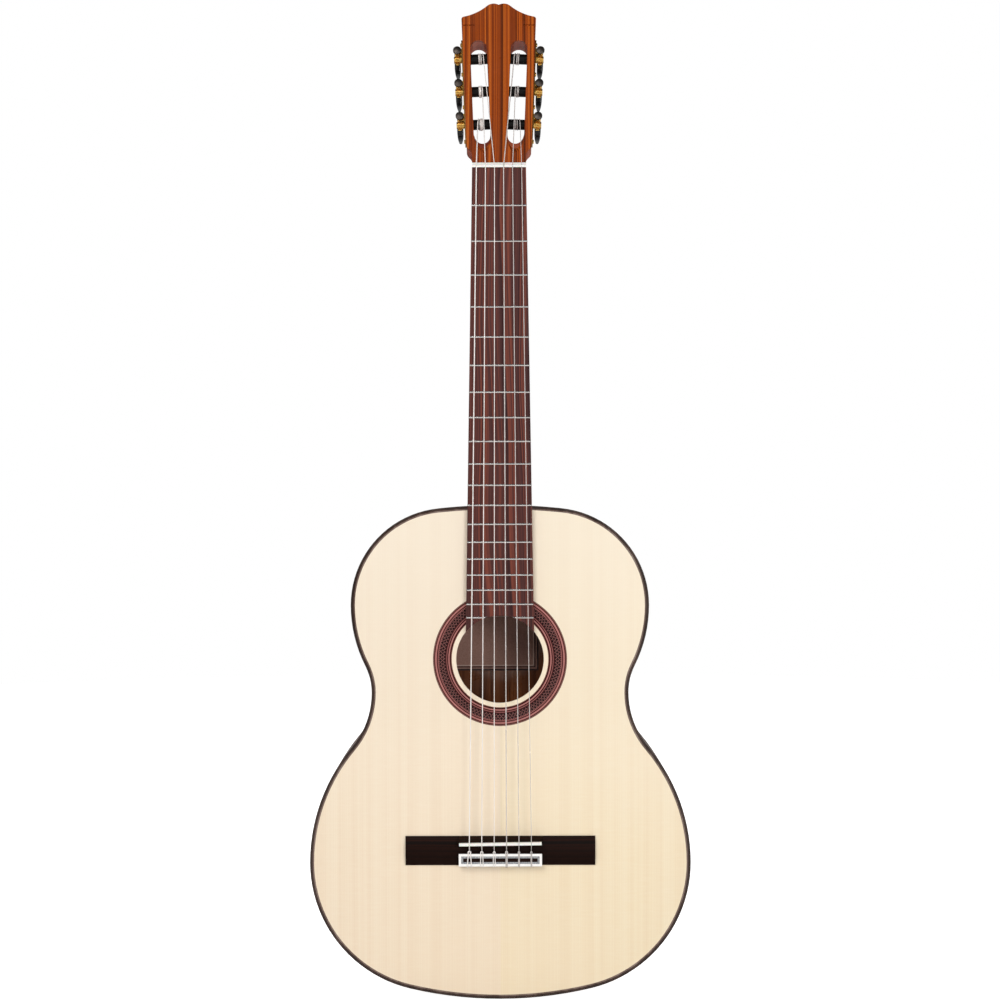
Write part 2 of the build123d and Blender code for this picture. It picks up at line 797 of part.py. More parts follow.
# One worm thread about the Z axis, starting with a gap on the +X side, where the gear meets it
root_radius = worm_pitch_radius - dedendum
thread_turns = 2 * math.ceil(worm_turns / 2) + 1
thread_foot = tooth_thickness / 2 + dedendum * flank_tangent
thread_crown = tooth_thickness / 2 - addendum * flank_tangent
thread_start = -axial_pitch * thread_turns / 2

with BuildPart() as thread:
    with BuildLine(Plane.XY.offset(thread_start)) as path:
        Helix(pitch=axial_pitch, height=axial_pitch * thread_turns, radius=root_radius)
    with BuildSketch(Plane((root_radius, 0, thread_start), x_dir=(1, 0, 0), z_dir=(0, 1, 0))):
        with BuildLine():
            Polyline(
                (-thread_sink, -thread_foot),
                (addendum + dedendum, -thread_crown),
                (addendum + dedendum, thread_crown),
                (-thread_sink, thread_foot),
                close=True,
            )
        make_face()
    sweep(path=path.line, is_frenet=True)
    with BuildSketch(Plane.XY.offset(-worm_span)):
        Circle(2 * worm_pitch_radius)
    extrude(amount=2 * worm_span, mode=Mode.INTERSECT)

for side, place, frame, number in tuners:
    with BuildPart() as roller:
        with BuildSketch(axle_plane(frame, side, end_clearance - socket_depth)):
            Circle(roller_radius)
        extrude(amount=socket_depth - 2 * end_clearance)
        with BuildSketch(axle_plane(frame, side, -end_clearance)):
            Circle(stub_diameter / 2)
        extrude(amount=end_clearance + plate_thickness + end_clearance)
        with BuildSketch(axle_plane(frame, side, plate_thickness)):
            Rectangle(seat_across, seat_across)
        extrude(amount=gear_outer - plate_thickness)
        with BuildSketch(axle_plane(frame, side, gear_outer)):
            Circle(gear_screw_diameter / 2)
        extrude(amount=-gear_outer, mode=Mode.SUBTRACT)
        hole_at = side * (roller_hole_x[number] - side_half_width(roller_at[number]))
        with BuildSketch(Plane(frame.from_local_coords(Vector(hole_at, 0, 0)), z_dir=frame.z_dir)):
            Circle(string_hole_diameter / 2)
        extrude(amount=roller_diameter, both=True, mode=Mode.SUBTRACT)
    roller.part.label = f"roller_{place}"
    export_step(roller.part, f"parts/roller_{place}.step")

    with BuildPart() as gear:
        with BuildSketch(axle_plane(frame, side, gear_inner)):
            Circle(gear_pitch_radius + addendum)
        extrude(amount=gear_width)
        root, tip = gear_pitch_radius - dedendum, gear_pitch_radius + addendum + dedendum
        gap = (axial_pitch - tooth_thickness) / 2
        root_gap = gap - dedendum * flank_tangent
        tip_gap = gap + (addendum + dedendum) * flank_tangent
        for tooth in range(gear_teeth):
            turn = (tooth + 0.5) * 360 / gear_teeth
            tangent = frame.z_dir * cosine(turn) - frame.y_dir * sine(turn)
            lengthways = frame.x_dir * cosine(lead_angle) + tangent * sine(lead_angle)
            crossways = frame.x_dir * sine(lead_angle) - tangent * cosine(lead_angle)
            centre = frame.from_local_coords(Vector(side * gear_centre, 0, 0))
            with BuildSketch(Plane(centre, x_dir=crossways, z_dir=lengthways)):
                with BuildLine():
                    Polyline((-root_gap, root), (root_gap, root), (tip_gap, tip), (-tip_gap, tip), close=True)
                make_face()
            extrude(amount=gear_width, both=True, mode=Mode.SUBTRACT)
        with BuildSketch(axle_plane(frame, side, plate_thickness + end_clearance)):
            Circle(hub_diameter / 2)
        extrude(amount=gear_inner - plate_thickness - end_clearance)
        with BuildSketch(axle_plane(frame, side, 0)):
            Rectangle(seat_across, seat_across)
        extrude(amount=2 * gear_outer, mode=Mode.SUBTRACT)

    with BuildPart() as gear_screw:
        with BuildSketch(axle_plane(frame, side, gear_outer)):
            Circle(hub_diameter / 2 - running_clearance)
        extrude(amount=gear_screw_head)
        with BuildSketch(axle_plane(frame, side, 0)):
            Circle(gear_screw_diameter / 2)
        extrude(amount=gear_outer)
        with BuildSketch(axle_plane(frame, side, gear_outer + gear_screw_head)):
            Rectangle(hub_diameter, tang_width)
        extrude(amount=-gear_screw_head / 2, mode=Mode.SUBTRACT)
    geared = Compound(label=f"gear_{place}", children=[gear.part, gear_screw.part])
    export_step(geared, f"parts/gear_{place}.step")

    with BuildPart() as worm:
        add(thread.part.moved(worm_plane(frame, side, 0).location))
        with BuildSketch(worm_plane(frame, side, -worm_span)):
            Circle(root_radius)
        extrude(amount=2 * worm_span)
        collar_at = worm_span + bearing_width + 2 * running_clearance
        with BuildSketch(worm_plane(frame, side, collar_at)):
            Circle(journal_diameter / 2)
        extrude(amount=-(collar_at + button_start + button_length / 2))
        with BuildSketch(worm_plane(frame, side, collar_at)):
            Circle(collar_radius)
        extrude(amount=collar_width)
    worm.part.label = f"worm_{place}"
    export_step(worm.part, f"parts/worm_{place}.step")

    with BuildPart() as button:
        for share, wide, thick in ((0, 0.4, 0.85), (0.25, 0.95, 1), (0.7, 1, 0.9), (1, 0.75, 0.56)):
            with BuildSketch(worm_plane(frame, side, -button_start - share * button_length)):
                Ellipse(button_crown * wide * button_half_width, thick * button_half_thickness)
                Rectangle(2 * wide * button_half_width, 2 * button_half_thickness, mode=Mode.INTERSECT)
        loft()
        with BuildSketch(worm_plane(frame, side, -button_start)):
            Circle(journal_diameter / 2)
        extrude(amount=-button_length / 2, mode=Mode.SUBTRACT)
    button.part.label = f"button_{place}"
    export_step(button.part, f"parts/button_{place}.step")

# --- Strings, nut and bridge -----------------------------------------------------------------

board_face = -fingerboard_thickness
string_rise = string_height_body_fret - string_height_nut
nut_bearing = board_face - string_height_nut
saddle_z = -scale_length - saddle_compensation
saddle_bearing = nut_bearing + string_rise * saddle_z / -body_top
bridge_z = -scale_length + bridge_front
bridge_end = bridge_z - bridge_width
tie_front = bridge_end + tie_width


def string_route(number):
    """Centre line of a string: tie block, saddle, nut, roller. Number 0 is the lowest string."""
    step = number - 2.5
    radius = string_diameters[number] / 2
    across = step * string_spacing_bridge
    saddle_at = saddle_z + saddle_slant * across / (2 * tie_half_length)
    side = 1 if step > 0 else -1
    place = 3 - round(abs(step) + 0.5)
    above = -roller_depth + roller_radius + radius + end_clearance
    with BuildLine() as route:
        FilletPolyline(
            (across, -tie_hole_height, bridge_end - radius),
            (across, -tie_hole_height, tie_front + string_bend_radius),
            (across, saddle_bearing - radius, saddle_at),
            (step * string_spacing_nut, nut_bearing - radius, string_bend_radius / 2),
            head_point(side * roller_string_x[place], roller_at[place] - string_bend_radius, above),
            radius=string_bend_radius,
        )
    return route.wire()


def string_solid(number, diameter):
    """A round wire along one string's route."""
    route = string_route(number)
    with BuildPart() as wire:
        with BuildSketch(Plane(route @ 0, z_dir=route % 0)):
            Circle(diameter / 2)
        sweep(path=route, transition=Transition.ROUND)
    return wire.part


strings = [string_solid(number, diameter) for number, diameter in enumerate(string_diameters)]
grooves = [
    string_solid(number, diameter + 2 * string_groove_clearance)
    for number, diameter in enumerate(string_diameters)
]
wound = Compound(label="strings_wound", children=strings[:3])
export_step(wound, "parts/strings_wound.step")
plain = Compound(label="strings_plain", children=strings[3:])
export_step(plain, "parts/strings_plain.step")

with BuildPart() as nut:
    with BuildSketch(Plane.YZ):
        with BuildLine():
            Polyline(
                (0, 0),
                (nut_bearing - nut_rise, 0),
                (nut_bearing - nut_rise, string_bend_radius),
                (nut_bearing + nut_fall, nut_thickness),
                (0, nut_thickness),
                close=True,
            )
        make_face()
    extrude(amount=nut_half_width, both=True)
    for groove in grooves:
        add(groove, mode=Mode.SUBTRACT)
nut.part.label = "nut"
export_step(nut.part, "parts/nut.step")

saddle_turn = math.degrees(math.atan2(saddle_slant, 2 * tie_half_length))
saddle_section = Plane((0, 0, saddle_z), x_dir=(0, 1, 0), z_dir=(cosine(saddle_turn), 0, sine(saddle_turn)))
crown_centre = saddle_bearing - saddle_rise + saddle_thickness / 2
saddle_foot = saddle_slot_depth - carrier_height

with BuildPart() as saddle:
    with BuildSketch(saddle_section):
        with Locations((crown_centre, 0)):
            Circle(saddle_thickness / 2)
        with Locations(((crown_centre + saddle_foot) / 2, 0)):
            Rectangle(saddle_foot - crown_centre, saddle_thickness)
    extrude(amount=tie_half_length - saddle_clearance, both=True)
    for groove in grooves:
        add(groove, mode=Mode.SUBTRACT)
saddle.part.label = "saddle"
export_step(saddle.part, "parts/saddle.step")


def border_face():
    """The frame round the top of the tie block."""
    with Locations((0, bridge_end + tie_width / 2)):
        Rectangle(2 * tie_half_length, tie_width)
        Rectangle(2 * (tie_half_length - border_width), tie_width - 2 * border_width, mode=Mode.SUBTRACT)


with BuildPart() as bridge:
    with BuildSketch(Plane.YZ):
        with BuildLine():
            Line((0, bridge_z), (-wing_edge, bridge_z))
            crown = (-wing_crown, bridge_z - bridge_width / 2)
            ThreePointArc((-wing_edge, bridge_z), crown, (-wing_edge, bridge_end))
            Polyline((-wing_edge, bridge_end), (0, bridge_end), (0, bridge_z))
        make_face()
    extrude(amount=bridge_half_length, both=True)
    with BuildSketch(Plane.YZ):
        with BuildLine():
            Polyline(
                (0, bridge_z),
                (-wing_edge, bridge_z),
                (-carrier_height, bridge_z - carrier_slope),
                (-carrier_height, bridge_z - carrier_end),
                (-trough_height, bridge_z - carrier_end),
                (-trough_height, tie_front),
                (-tie_height, tie_front),
                (-tie_height, bridge_end),
                (0, bridge_end),
                close=True,
            )
        make_face()
    extrude(amount=tie_half_length, both=True)
    with BuildSketch(facing(-carrier_height)):
        with Locations((0, saddle_z)):
            Rectangle(2 * tie_half_length, saddle_thickness, rotation=saddle_turn)
    extrude(amount=-saddle_slot_depth, mode=Mode.SUBTRACT)
    with BuildSketch(Plane.XY.offset(bridge_end)):
        for number in range(6):
            with Locations(((number - 2.5) * string_spacing_bridge, -tie_hole_height)):
                Circle(tie_hole_diameter / 2)
    extrude(amount=tie_width, mode=Mode.SUBTRACT)
    with BuildSketch(facing(-tie_height)):
        border_face()
    extrude(amount=-border_thickness, mode=Mode.SUBTRACT)
bridge.part.label = "bridge"
export_step(bridge.part, "parts/bridge.step")

with BuildPart() as tie_block_border:
    with BuildSketch(facing(-tie_height)):
        border_face()
    extrude(amount=-border_thickness)
tie_block_border.part.label = "tie_block_border"
export_step(tie_block_border.part, "parts/tie_block_border.step")
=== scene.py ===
import json
import math

import bmesh
import bpy
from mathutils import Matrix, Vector


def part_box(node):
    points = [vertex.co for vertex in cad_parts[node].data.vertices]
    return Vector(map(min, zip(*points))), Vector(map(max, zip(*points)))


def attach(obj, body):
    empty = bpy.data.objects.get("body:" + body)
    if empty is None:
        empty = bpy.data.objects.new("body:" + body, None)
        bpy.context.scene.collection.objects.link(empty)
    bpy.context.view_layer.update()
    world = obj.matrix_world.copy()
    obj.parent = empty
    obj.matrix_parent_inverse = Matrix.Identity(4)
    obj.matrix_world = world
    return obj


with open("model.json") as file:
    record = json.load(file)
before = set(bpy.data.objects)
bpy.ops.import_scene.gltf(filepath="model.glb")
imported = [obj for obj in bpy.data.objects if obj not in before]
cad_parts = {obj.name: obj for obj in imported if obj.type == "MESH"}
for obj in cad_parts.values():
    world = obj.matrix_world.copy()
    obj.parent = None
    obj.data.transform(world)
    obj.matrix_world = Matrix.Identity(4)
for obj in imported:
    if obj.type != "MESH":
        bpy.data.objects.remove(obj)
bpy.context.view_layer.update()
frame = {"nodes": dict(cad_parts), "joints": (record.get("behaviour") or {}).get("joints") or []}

nodes = frame["nodes"]
joints = {joint["name"]: joint for joint in frame["joints"]}
SIDES = {"bass": -1, "treble": 1}
TUNERS = [f"{half}_{number}" for half in SIDES for number in (1, 2, 3)]

MM = 0.001

# The headstock leans back from the neck; its face looks this way
HEAD_TILT = math.radians(15)
HEAD_OUT = Vector((0, -math.cos(HEAD_TILT), math.sin(HEAD_TILT)))

# Strings, in millimetres: their diameters, lowest first, and their spacing at the tie block
STRING_DIAMETERS = (1.09, 0.91, 0.76, 1.02, 0.82, 0.71)
TIE_SPACING = 11.9
TIE_HOLE_Y = -4.9

# Rollers, nut end first: how far from the centre line each string meets its roller and is made fast
ROLLER_RADIUS = 5.0
ROLLER_STRING_X = (20.6, 16.0, 15.0)
WINDING_END_X = (15.6, 19.6, 20.2)
WINDING_TURNS = {"bass": 3.5, "treble": 2.5}
WINDING_CROWD = 0.6
WINDING_LIFT = 1.012
WINDING_STEPS = 16

# Rosette: the mosaic's inner radius and tile height in millimetres, and its tiles in one round
MOSAIC_INNER, MOSAIC_TILE, MOSAIC_COLUMNS = 53.0, 1.033, 416
MOSAIC_REPEAT = 4.0
ROSETTE_OUTER = 64.7

# Width of the bone in the tie block's frame, outside its strip of shell, in millimetres
BORDER_BONE = 2.3

# Pitch of the wire wrapped round the low strings, in metres
WRAP_PITCH = 0.00042

# Tuner collars, as (radius, height) points in millimetres
COLLAR_PROFILE = ((0.0, 0.95), (1.2, 0.9), (2.3, 0.68), (3.0, 0.42), (3.3, 0.3), (3.7, 0.3), (3.97, 0.12),
                  (4.02, -0.2), (4.02, -2.0), (3.92, -2.15), (0.0, -2.15))

# Knots at the tie block: half the gap between a string's strands at the block's rear and front,
# half its loop's width and how far the loop reaches ahead, in millimetres
BASS_TIES = ((2.0, 1.1, 1.35, 2.4), (1.3, 0.9, 1.15, 2.2), (1.0, 0.8, 1.0, 2.1))
TREBLE_TIES = ((0.55, 0.52, 1.1, 2.3), (0.45, 0.42, 0.9, 2.1), (0.4, 0.37, 0.85, 2.0))

# Camera, in metres
VIEW_SPAN = 0.9615
VIEW_DISTANCE = 1.92


# --- Shader helpers ---------------------------------------------------------------------------


class Tree:
    """Adds nodes to a shader tree and joins their sockets."""

    def __init__(self, tree):
        self.tree = tree

    def add(self, kind, inputs=None, **settings):
        """A node with its settings and its inputs, each input a value or another node's output."""
        node = self.tree.nodes.new(kind)
        for name, value in settings.items():
            setattr(node, name, value)
        for key, value in (inputs or {}).items():
            if isinstance(value, bpy.types.NodeSocket):
                self.tree.links.new(value, node.inputs[key])
            else:
                node.inputs[key].default_value = value
        return node

    def math(self, operation, *values):
        return self.add("ShaderNodeMath", dict(enumerate(values)), operation=operation).outputs[0]

    def vector(self, operation, *values):
        return self.add("ShaderNodeVectorMath", dict(enumerate(values)), operation=operation).outputs[0]

    def noise(self, vector, scale, detail=3.0, rough=0.5):
        inputs = {"Vector": vector, "Scale": scale, "Detail": detail, "Roughness": rough}
        return self.add("ShaderNodeTexNoise", inputs).outputs["Fac"]

    def stretch(self, vector, scale):
        """The coordinates multiplied axis by axis."""
        return self.vector("MULTIPLY", vector, scale)

    def ramp(self, value, low, high, to_low=0.0, to_high=1.0):
        inputs = {"Value": value, "From Min": low, "From Max": high, "To Min": to_low, "To Max": to_high}
        return self.add("ShaderNodeMapRange", inputs).outputs["Result"]

    def blend(self, factor, first, second, kind="MIX"):
        """Two colours mixed by a factor."""
        inputs = {0: factor, 6: first, 7: second}
        return self.add("ShaderNodeMix", inputs, data_type="RGBA", blend_type=kind).outputs[2]

    def colours(self, value, *stops):
        """A colour ramp through (position, colour) stops."""
        node = self.add("ShaderNodeValToRGB", {0: value})
        ramp = node.color_ramp
        while len(ramp.elements) < len(stops):
            ramp.elements.new(0.5)
        for element, (position, colour) in zip(ramp.elements, stops):
            element.position = position
            element.color = rgb(*colour)
        return node.outputs[0]


def rgb(red, green, blue):
    """A colour given as 0-255 display values, as the linear colour the shader needs."""
    def linear(value):
        value /= 255
        return value / 12.92 if value <= 0.04045 else ((value + 0.055) / 1.055) ** 2.4
    return (linear(red), linear(green), linear(blue), 1.0)


def new_group(name, inputs, outputs):
    """A shader node group with named float, vector and colour sockets; returns its tree and ends."""
    group = bpy.data.node_groups.new(name, "ShaderNodeTree")
    kinds = {"value": "NodeSocketFloat", "vector": "NodeSocketVector", "colour": "NodeSocketColor"}
    for label, kind in inputs.items():
        group.interface.new_socket(label, in_out="INPUT", socket_type=kinds[kind])
    for label, kind in outputs.items():
        group.interface.new_socket(label, in_out="OUTPUT", socket_type=kinds[kind])
    tree = Tree(group)
    start = tree.add("NodeGroupInput").outputs
    end = tree.add("NodeGroupOutput").inputs
    return tree, start, end


def grain_group():
    """Straight wood grain along Z: fine year lines, broad streaks and a slow drift of tone."""
    tree, given, out = new_group(
        "wood_grain",
        {"Place": "vector", "Line Density": "value", "Wander": "value", "Streak Density": "value"},
        {"Lines": "value", "Streaks": "value", "Drift": "value"},
    )
    link = tree.tree.links.new
    slow = tree.noise(tree.stretch(given["Place"], (18, 18, 2.2)), 1.0, 2)
    bend = tree.math("MULTIPLY", tree.math("SUBTRACT", slow, 0.5), given["Wander"])
    across = tree.add("ShaderNodeSeparateXYZ", {0: given["Place"]}).outputs
    moved = tree.math("ADD", tree.math("ADD", across[0], across[1]), bend)
    fine = tree.add(
        "ShaderNodeTexNoise",
        {"W": tree.math("MULTIPLY", moved, given["Line Density"]), "Scale": 1.0, "Detail": 2.0},
        noise_dimensions="1D",
    ).outputs["Fac"]
    link(tree.ramp(fine, 0.32, 0.68), out["Lines"])
    broad = tree.add(
        "ShaderNodeTexNoise",
        {
            "W": tree.math("MULTIPLY", moved, given["Streak Density"]),
            "Scale": 1.0, "Detail": 4.0, "Roughness": 0.6,
        },
        noise_dimensions="1D",
    ).outputs["Fac"]
    link(tree.ramp(broad, 0.3, 0.7), out["Streaks"])
    link(tree.noise(tree.stretch(given["Place"], (9, 9, 5)), 1.0, 2), out["Drift"])
    return tree.tree


def pore_group():
    """Short open pores along Z, as dark dashes; 1 in a pore."""
    tree, given, out = new_group("open_pores", {"Place": "vector", "Amount": "value"}, {"Pores": "value"})
    dashes = tree.noise(tree.stretch(given["Place"], (3200, 3200, 130)), 1.0, 1)
    limit = tree.math("SUBTRACT", 0.86, tree.math("MULTIPLY", given["Amount"], 0.3))
    tree.tree.links.new(tree.ramp(dashes, limit, 0.9), out["Pores"])
    return tree.tree


def wear_group():
    """Handling marks: a smudge mask from 0 to 1 and a very fine scratch height."""
    tree, given, out = new_group("handling", {"Place": "vector"}, {"Smudge": "value", "Scratch": "value"})
    tree.tree.links.new(tree.ramp(tree.noise(given["Place"], 34, 4, 0.6), 0.3, 0.75), out["Smudge"])
    lines = tree.noise(tree.stretch(given["Place"], (420, 900, 60)), 1.0, 2)
    tree.tree.links.new(tree.ramp(lines, 0.45, 0.8), out["Scratch"])
    return tree.tree


GRAIN, PORES, HANDLING = grain_group(), pore_group(), wear_group()


class Finish(Tree):
    """A material under construction, with its principled shader and object coordinates."""

    def __init__(self, name, **shader):
        self.material = bpy.data.materials.new(name)
        self.material.use_nodes = True
        super().__init__(self.material.node_tree)
        self.tree.nodes.clear()
        self.shader = self.add("ShaderNodeBsdfPrincipled")
        end = self.add("ShaderNodeOutputMaterial")
        self.tree.links.new(self.shader.outputs[0], end.inputs[0])
        for socket, value in shader.items():
            self.shader.inputs[socket.replace("_", " ")].default_value = value
        self.place = self.add("ShaderNodeTexCoord").outputs["Object"]

    def group(self, group, **inputs):
        """One of the shared node groups, placed with its own values."""
        node = self.add("ShaderNodeGroup", node_tree=group)
        for name, value in inputs.items():
            socket = node.inputs[name.replace("_", " ")]
            if isinstance(value, bpy.types.NodeSocket):
                self.tree.links.new(value, socket)
            else:
                socket.default_value = value
        return node.outputs

    def set(self, socket, value):
        self.tree.links.new(value, self.shader.inputs[socket])

    def bump(self, height, strength=0.3, distance=0.0002):
        inputs = {"Height": height, "Strength": strength, "Distance": distance}
        self.set("Normal", self.add("ShaderNodeBump", inputs).outputs[0])

    def ring_place(self, ring):
        """Distances across and down from a ring's middle, and the radius there, in metres."""
        low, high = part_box(ring)
        axes = self.add("ShaderNodeSeparateXYZ", {0: self.place}).outputs
        down = self.math("SUBTRACT", axes[2], (low.z + high.z) / 2)
        squares = self.math("ADD", self.math("POWER", axes[0], 2.0), self.math("POWER", down, 2.0))
        return axes[0], down, self.math("SQRT", squares)

    def gloss(self, low, high):
        """Roughness that varies between two values with handling."""
        marks = self.group(HANDLING, Place=self.place)
        self.set("Roughness", self.ramp(marks["Smudge"], 0, 1, low, high))
        return marks


# --- Woods ------------------------------------------------------------------------------------


def spruce(name, tones, offset=0.0):
    """Bookmatched soundboard: fine year lines mirrored about the centre joint, with cross-grain silk, and
    painted light that pales the upper board.
    """
    wood = Finish(name, Coat_Weight=0.6, Coat_Roughness=0.12, Specular_IOR_Level=0.4)
    axes = wood.add("ShaderNodeSeparateXYZ", {0: wood.place}).outputs
    mirrored = wood.add(
        "ShaderNodeCombineXYZ", {0: wood.math("ABSOLUTE", axes[0]), 1: offset, 2: axes[2]}
    ).outputs[0]
    grain = wood.group(GRAIN, Place=mirrored, Line_Density=1150.0, Wander=0.004, Streak_Density=90.0)
    tone = wood.colours(grain["Streaks"], (0.0, tones[0]), (0.5, tones[1]), (1.0, tones[2]))
    tone = wood.blend(wood.math("MULTIPLY", grain["Lines"], 0.1), tone, rgb(196, 150, 100))
    silk = wood.noise(wood.stretch(wood.place, (60, 60, 520)), 1.0, 3)
    tone = wood.blend(wood.ramp(silk, 0.4, 0.8, 0, 0.16), tone, rgb(255, 246, 226))
    tone = wood.blend(wood.ramp(grain["Drift"], 0.35, 0.7, 0, 0.3), tone, rgb(243, 223, 194))
    # Painted light from above: the board turns paler towards the neck and stays darker towards the tail
    paler = wood.ramp(axes[2], -0.66, -0.36, 0.1, 0.66)
    wood.set("Base Color", wood.blend(paler, tone, rgb(252, 240, 222)))
    marks = wood.gloss(0.29, 0.33)
    wood.bump(wood.math("ADD", grain["Lines"], wood.math("MULTIPLY", marks["Scratch"], 0.3)), 0.12, 0.00005)
    return wood.material


def dark_wood(name, tones, lines=900.0, streaks=60.0, wander=0.02, pores=0.5, turn=None, gloss=(0.22, 0.4),
              coat=0.3, pore_depth=0.55, shine=0.3):
    """Rosewood and its kin: dark streaks on a warm ground, open pores, thin lacquer.

    The grain runs along Z unless turn gives a rotation type and an angle.
    """
    wood = Finish(name, Coat_Weight=coat, Coat_Roughness=0.15, Specular_IOR_Level=shine)
    place = wood.place
    if turn:
        axis, angle = turn
        turned = wood.add("ShaderNodeVectorRotate", {"Vector": place, "Angle": angle}, rotation_type=axis)
        place = turned.outputs[0]
    grain = wood.group(GRAIN, Place=place, Line_Density=lines, Wander=wander, Streak_Density=streaks)
    stops = zip((0.1, 0.45, 0.62, 0.95), tones)
    tone = wood.colours(grain["Streaks"], *stops)
    tone = wood.blend(wood.math("MULTIPLY", grain["Lines"], 0.35), tone, rgb(*tones[0]))
    tone = wood.blend(wood.ramp(grain["Drift"], 0.3, 0.75, 0, 0.3), tone, rgb(*tones[2]))
    pits = wood.group(PORES, Place=place, Amount=pores)["Pores"]
    pit_tone = rgb(*[value * 0.35 for value in tones[0]])
    wood.set("Base Color", wood.blend(wood.math("MULTIPLY", pits, 0.7), tone, pit_tone))
    marks = wood.gloss(*gloss)
    height = wood.math("SUBTRACT", wood.math("MULTIPLY", marks["Scratch"], 0.2), pits)
    wood.bump(height, pore_depth, 0.00006)
    return wood.material


def rosette_mosaic():
    """Dark diamonds of small squares on a paler lattice, set out round the soundhole."""
    tile = Finish("mosaic_tiles", Coat_Weight=0.1, Coat_Roughness=0.1, Specular_IOR_Level=0.1)
    across, down, radius = tile.ring_place("rosette_mosaic")
    angle = tile.math("ARCTAN2", across, down)
    column = tile.math("MULTIPLY", angle, MOSAIC_COLUMNS / (2 * math.pi))
    row = tile.math("DIVIDE", tile.math("SUBTRACT", radius, MOSAIC_INNER * MM), MOSAIC_TILE * MM)
    step, band = tile.math("FLOOR", column), tile.math("FLOOR", row)
    rising = tile.math("FLOORED_MODULO", tile.math("ADD", step, band), MOSAIC_REPEAT)
    falling = tile.math("FLOORED_MODULO", tile.math("SUBTRACT", step, band), MOSAIC_REPEAT)
    lattice = tile.math("LESS_THAN", tile.math("MINIMUM", rising, falling), 1.0)
    jitter = tile.add(
        "ShaderNodeTexWhiteNoise",
        {"Vector": tile.add("ShaderNodeCombineXYZ", {0: step, 1: band}).outputs[0]},
    ).outputs["Value"]
    tone = tile.blend(lattice, rgb(10, 2, 4), rgb(140, 92, 88))
    tone = tile.blend(tile.math("MULTIPLY", jitter, 0.12), tone, rgb(70, 34, 32))
    edge_c = tile.math("GREATER_THAN", tile.math("FRACT", column), 0.9)
    edge_r = tile.math("GREATER_THAN", tile.math("FRACT", row), 0.9)
    seam = tile.math("MAXIMUM", edge_c, edge_r)
    tile.set("Base Color", tile.blend(tile.math("MULTIPLY", seam, 0.35), tone, rgb(22, 12, 12)))
    tile.gloss(0.2, 0.32)
    tile.bump(tile.math("MULTIPLY", seam, -1.0), 0.15, 0.00003)
    return tile.material


def rosette_lines():
    """Concentric veneer lines beside the mosaic, each starting at its own radius in millimetres."""
    line = Finish("rosette_lines", Coat_Weight=0.1, Coat_Roughness=0.1, Specular_IOR_Level=0.1)
    radius = line.ring_place("rosette_rings")[2]
    low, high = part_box("rosette_rings")
    scale = (high.x - low.x) / 2 / ROSETTE_OUTER
    dark, pink, thin = (62, 26, 26), (184, 120, 114), (150, 92, 88)
    bands = (
        (46.6, (150, 100, 84)), (47.1, dark), (48.7, pink), (49.9, dark), (51.0, thin), (51.8, dark),
        (59.2, thin), (60.1, dark), (61.1, pink), (62.6, dark), (63.5, (124, 84, 76)),
    )
    tone = rgb(*bands[0][1])
    for start, colour in bands[1:]:
        beyond = line.math("GREATER_THAN", radius, start * scale)
        tone = line.blend(beyond, tone, rgb(*colour))
    fibre = line.noise(line.stretch(line.place, (900, 900, 900)), 1.0, 2)
    line.set("Base Color", line.blend(line.ramp(fibre, 0.4, 0.8, 0, 0.25), tone, rgb(60, 32, 30)))
    line.gloss(0.2, 0.32)
    return line.material


# --- Metals, plastics and the rest ------------------------------------------------------------


def metal(name, colour, rough, brushed=0.0, tint=None):
    """Plated metal with brushing along Z and a little tarnish in its smudges."""
    plate = Finish(name, Metallic=1.0)
    marks = plate.gloss(rough, rough + 0.16)
    tint = tint or [value * 0.8 for value in colour]
    tarnish = plate.ramp(marks["Smudge"], 0.3, 1, 0, 0.6)
    plate.set("Base Color", plate.blend(tarnish, rgb(*colour), rgb(*tint)))
    brush = plate.noise(plate.stretch(plate.place, (6000, 6000, 300)), 1.0, 2)
    plate.bump(plate.math("ADD", plate.math("MULTIPLY", brush, brushed), marks["Scratch"]), 0.08, 0.00003)
    return plate.material


def plastic(name, colour, rough=0.22, coat=0.4, speck=0.1, shine=0.3):
    """Moulded plastic with a soft orange-peel skin."""
    skin = Finish(name, Coat_Weight=coat, Coat_Roughness=0.1, Specular_IOR_Level=shine)
    marks = skin.gloss(rough, rough + 0.15)
    lift = [min(255, value + 26) for value in colour]
    bloom = skin.math("MULTIPLY", marks["Smudge"], speck)
    skin.set("Base Color", skin.blend(bloom, rgb(*colour), rgb(*lift)))
    skin.bump(skin.noise(skin.place, 900, 3), 0.1, 0.00005)
    return skin.material


def bone():
    """Polished bone: pale, with faint long pores and a waxy depth."""
    solid = Finish(
        "bone", Subsurface_Weight=0.15, Subsurface_Scale=0.002, Coat_Weight=0.3, Coat_Roughness=0.1,
    )
    lines = solid.noise(solid.stretch(solid.place, (300, 2600, 2600)), 1.0, 3)
    tone = solid.blend(solid.ramp(lines, 0.5, 0.8, 0, 0.4), rgb(255, 253, 248), rgb(244, 238, 226))
    solid.set("Base Color", tone)
    marks = solid.gloss(0.24, 0.38)
    solid.bump(solid.math("ADD", lines, marks["Scratch"]), 0.1, 0.00004)
    return solid.material


